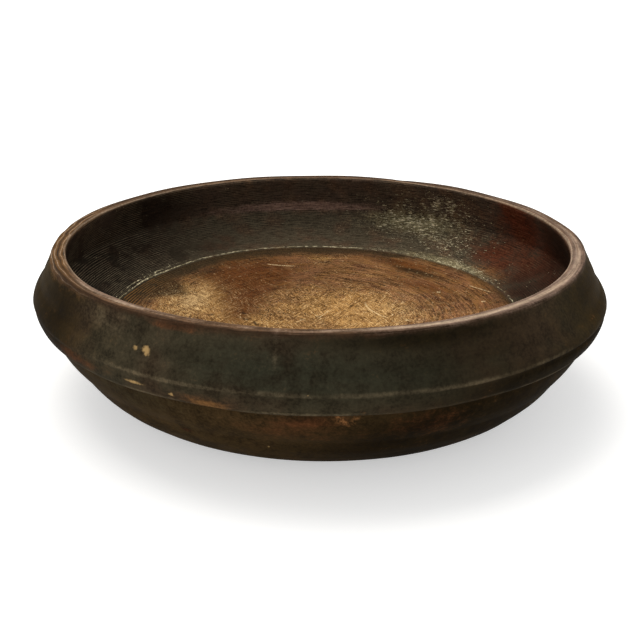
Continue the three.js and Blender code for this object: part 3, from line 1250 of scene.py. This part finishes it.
@dataclass
class Bowl:
    """The bowl: one surface from the middle of the underside, over the lip, to the middle of the floor."""

    foot: Foot = field(default_factory=Foot)
    body: Body = field(default_factory=Body)
    shoulder: Shoulder = field(default_factory=Shoulder)
    lip: Lip = field(default_factory=Lip)
    inside: Inside = field(default_factory=Inside)
    marks: list[Mark] = field(default_factory=all_marks)
    ovality: float = 0.038
    grain_angle: float = -44.0
    columns: int = 480
    softness: float = 0.45
    dents: float = 0.16
    outer_rings: float = 0.13
    inner_rings: float = 0.10
    up_the_neck: tuple[float, float] = (-0.41, 0.91)
    worn_angle: float = 186.0
    facets: tuple[tuple[float, float], ...] = (
        (-9.0, -0.7), (-7.2, 0.5), (-5.2, -0.9), (-3.2, 0.3), (-1.0, -0.5), (2.6, -0.3),
    )

    def surface(self) -> Surface:
        """Turns the profile, then warps and wears it.

        Returns:
            The worn skin.
        """
        profile = Profile()
        for part in (self.foot, self.body, self.shoulder, self.lip, self.inside):
            part.turn(profile)
        skin = Surface(Turning.of(profile, self.softness), self.columns)
        self._warp(skin)
        self._wear(skin)
        return skin

    def _warp(self, skin: Surface) -> None:
        """Unevenness of turning and drying: soft dents, turned rings, and edges that wander up and down.

        Args:
            skin: The skin, which is moved.
        """
        edges = skin.turning.edges
        standing = smooth(skin.height, 0.5, 12.0)
        skin.raise_by(self.dents * skin.ripples(11, 24, (2, 14), (30.0, 120.0)) * standing)
        outside = smooth(-skin.along, 6.0, 14.0) * standing
        rings = skin.rings(12, edges[Edge.FOOT], edges[Edge.LIP_OUTER], (1.8, 5.0))
        skin.raise_by(self.outer_rings * rings * outside)
        wall = smooth(skin.along, 6.0, 12.0) * smooth(skin.radius, 20.0, 60.0)
        skin.raise_by(self.inner_rings * skin.rings(13, 6.0, edges[Edge.CENTRE], (2.4, 5.0)) * wall)
        slide = (-1.2 * np.cos(skin.angle) - 0.2) * skin.window(edges[Edge.KINK], 6.0)
        skin.shift(self.up_the_neck[0] * slide, self.up_the_neck[1] * slide)
        ring = 4.0 * around(skin.angle, 180.0, 12.0) - 2.0 * around(skin.angle, 142.0, 20.0)
        skin.shift(ring * skin.window(edges[Edge.RING], 16.0), 0.0)
        quirk = 1.3 * around(skin.angle, -35.0, 40.0) + 0.4 * around(skin.angle, 200.0, 30.0) - 0.5
        skin.raise_by(-quirk * skin.window(edges[Edge.QUIRK], 1.6))

    def _wear(self, skin: Surface) -> None:
        """The lip worn down in facets at one side, its nicks, and the hollows of the chips.

        Args:
            skin: The skin, which is moved.
        """
        worn = around(skin.angle, self.worn_angle, 32.0)
        for place, rise in self.facets:
            skin.raise_by(rise * worn * skin.window(place, 0.9))
        for mark in self.marks:
            if mark.depth:
                skin.raise_by(-mark.depth * np.exp(-mark.distance(skin) ** 2))

    def tones(self, skin: Surface) -> dict[Tone, np.ndarray]:
        """How strong each tone is at each place.

        A soft mark is strength * exp(-d^2), where d is 1 at its edge, and soft marks add up. A bare mark is
        1 - d / 3, so that it can be cut sharply at d = 1, and the strongest bare mark counts.

        Args:
            skin: The worn skin.

        Returns:
            An array for each tone.
        """
        tones = {tone: np.zeros_like(skin.radius) for tone in Tone}
        for mark in self.marks:
            distance = mark.distance(skin)
            if mark.tone is Tone.BARE:
                tones[mark.tone] = np.maximum(tones[mark.tone], mark.strength * (1 - distance / 3))
            else:
                tones[mark.tone] += mark.strength * np.exp(-distance ** 2)
        return tones

    def build(self) -> bpy.types.Object:
        """Makes the mesh: rings of quads between two poles, and the attributes that the material reads.

        Returns:
            The bowl's object.
        """
        skin = self.surface()
        places = skin.places(self.ovality, self.grain_angle)
        rows, columns = skin.radius.shape
        first, last = places[0, 0] * [0, 0, 1], places[-1, 0] * [0, 0, 1]
        points = np.vstack([first, places[1:-1].reshape(-1, 3), last])
        ring = 1 + np.arange((rows - 2) * columns).reshape(rows - 2, columns)
        beside = np.roll(ring, -1, axis=1)
        quads = np.stack([ring[:-1], beside[:-1], beside[1:], ring[1:]], axis=2).reshape(-1, 4)
        below = np.stack([np.zeros(columns, int), beside[0], ring[0]], axis=1)
        above = np.stack([ring[-1], beside[-1], np.full(columns, len(points) - 1)], axis=1)
        mesh = bpy.data.meshes.new("turned_bowl")
        mesh.from_pydata(points.tolist(), [], quads.tolist() + below.tolist() + above.tolist())
        mesh.polygons.foreach_set("use_smooth", np.ones(len(mesh.polygons), bool))
        turning = np.stack([np.cos(skin.angle), np.sin(skin.angle), skin.along], axis=2)
        self._attribute(mesh, "turning", "FLOAT_VECTOR", turning)
        for tone, values in self.tones(skin).items():
            self._attribute(mesh, tone.value, "FLOAT", values[..., None])
        mesh.update()
        mesh.materials.append(AgedWood(self.grain_angle, skin.turning.edges).make())
        return stand("turned_bowl", mesh)

    @staticmethod
    def _attribute(mesh: bpy.types.Mesh, name: str, kind: str, values: np.ndarray) -> None:
        """Gives the mesh an attribute.

        Args:
            mesh: The mesh.
            name: The attribute's name.
            kind: Blender's type of it.
            values: Its values, rows by columns by size. A pole takes those of the first place in its row.
        """
        flat = np.vstack([values[0, :1], values[1:-1].reshape(-1, values.shape[2]), values[-1, :1]])
        data = mesh.attributes.new(name, kind, "POINT").data
        data.foreach_set("vector" if kind == "FLOAT_VECTOR" else "value", flat.ravel().astype(np.float32))


@dataclass
class Table:
    """The plain pale floor that the bowl stands on."""

    size: float = 12.0
    colour: Colour = (0.83, 0.83, 0.82)
    glow: float = 0.49

    def build(self) -> bpy.types.Object:
        """A flat square that glows a little for rays from the camera, so that it reads as white.

        Returns:
            The table's object.
        """
        half = self.size / 2
        corners = [(-half, -half, 0), (half, -half, 0), (half, half, 0), (-half, half, 0)]
        mesh = bpy.data.meshes.new("table")
        mesh.from_pydata(corners, [], [(0, 1, 2, 3)])
        material = bpy.data.materials.new("pale_table")
        tree = Tree(material)
        tree.surface({
            "Base Color": (*self.colour, 1),
            "Roughness": 0.9,
            "Specular IOR Level": 0.0,
            "Emission Color": (1, 1, 1, 1),
            "Emission Strength": tree.seen() * self.glow,
        })
        mesh.materials.append(material)
        return stand("table", mesh)


@dataclass
class StudioLight:
    """Soft light all round, and one large soft lamp behind and to the left of the bowl."""

    sky: float = 0.62
    lamp_place: tuple[float, float, float] = (-0.5, 0.9, 2.3)
    lamp_size: float = 2.2
    lamp_power: float = 44.0
    lamp_colour: Colour = (1.0, 0.97, 0.92)

    def build(self) -> None:
        """Sets the world's light, white where it is seen itself, and adds the lamp."""
        world = bpy.data.worlds.new("studio")
        bpy.context.scene.world = world
        tree = Tree(world)
        strength = tree.seen() * (1 - self.sky) + self.sky
        light = tree.node("ShaderNodeBackground", {}, {"Color": (1, 1, 1, 1), "Strength": strength})
        tree.add("ShaderNodeOutputWorld", {}, {"Surface": light})
        lamp = bpy.data.lights.new("soft_lamp", "AREA")
        lamp.energy, lamp.size, lamp.color = self.lamp_power, self.lamp_size, self.lamp_colour
        holder = stand("soft_lamp", lamp)
        holder.location = self.lamp_place
        holder.rotation_euler = (-Vector(self.lamp_place)).to_track_quat("-Z", "Y").to_euler()


@dataclass
class PhotoCamera:
    """The camera at the photograph's angle: its distance and height angle round the middle of the bowl."""

    distance: float = 0.7
    elevation: float = 20.55
    middle_height: float = 0.045
    focal_pixels: float = 1101.63
    picture: int = 640
    sensor: float = 36.0
    pan: float = -0.23
    tilt: float = 0.71
    roll: float = -1.20

    def build(self) -> bpy.types.Object:
        """Places the camera: it looks at the middle, and is then panned, tilted and rolled a little.

        Returns:
            The camera's object.
        """
        lift = math.radians(self.elevation)
        right, forward = Vector((1, 0, 0)), Vector((0, math.cos(lift), -math.sin(lift)))
        axes = Matrix((right, forward.cross(right), forward))
        for angle, axis in ((self.pan, "Y"), (self.tilt, "X"), (self.roll, "Z")):
            axes = Matrix.Rotation(math.radians(angle), 3, axis) @ axes
        place = Vector((0, 0, self.middle_height)) - forward * self.distance
        lens = bpy.data.cameras.new("photo_camera")
        lens.sensor_fit = "HORIZONTAL"
        lens.sensor_width = self.sensor
        lens.lens = self.focal_pixels * self.sensor / self.picture
        lens.clip_start, lens.clip_end = 0.05, 50.0
        camera = stand("photo_camera", lens)
        turn = Matrix((axes[0], -axes[1], -axes[2])).transposed().to_4x4()
        camera.matrix_world = Matrix.Translation(place) @ turn
        bpy.context.scene.camera = camera
        return camera


def main() -> None:
    """Builds the bowl, the table, the light and the camera in order, and reports the bowl, the table and the
    camera.
    """
    logging.basicConfig(level=logging.INFO, format="%(name)s: %(message)s")
    bpy.context.scene.view_settings.view_transform = "Standard"
    bowl = Bowl().build()
    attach(bowl, "root")
    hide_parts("bowl")
    logger.info("%s: %d points, %d faces", bowl.name, len(bowl.data.vertices), len(bowl.data.polygons))
    table = Table().build()
    logger.info("%s: the floor of the scene", table.name)
    StudioLight().build()
    camera = PhotoCamera().build()
    logger.info("%s: lens %.2f mm", camera.name, camera.data.lens)


if __name__ == "__main__":
    main()
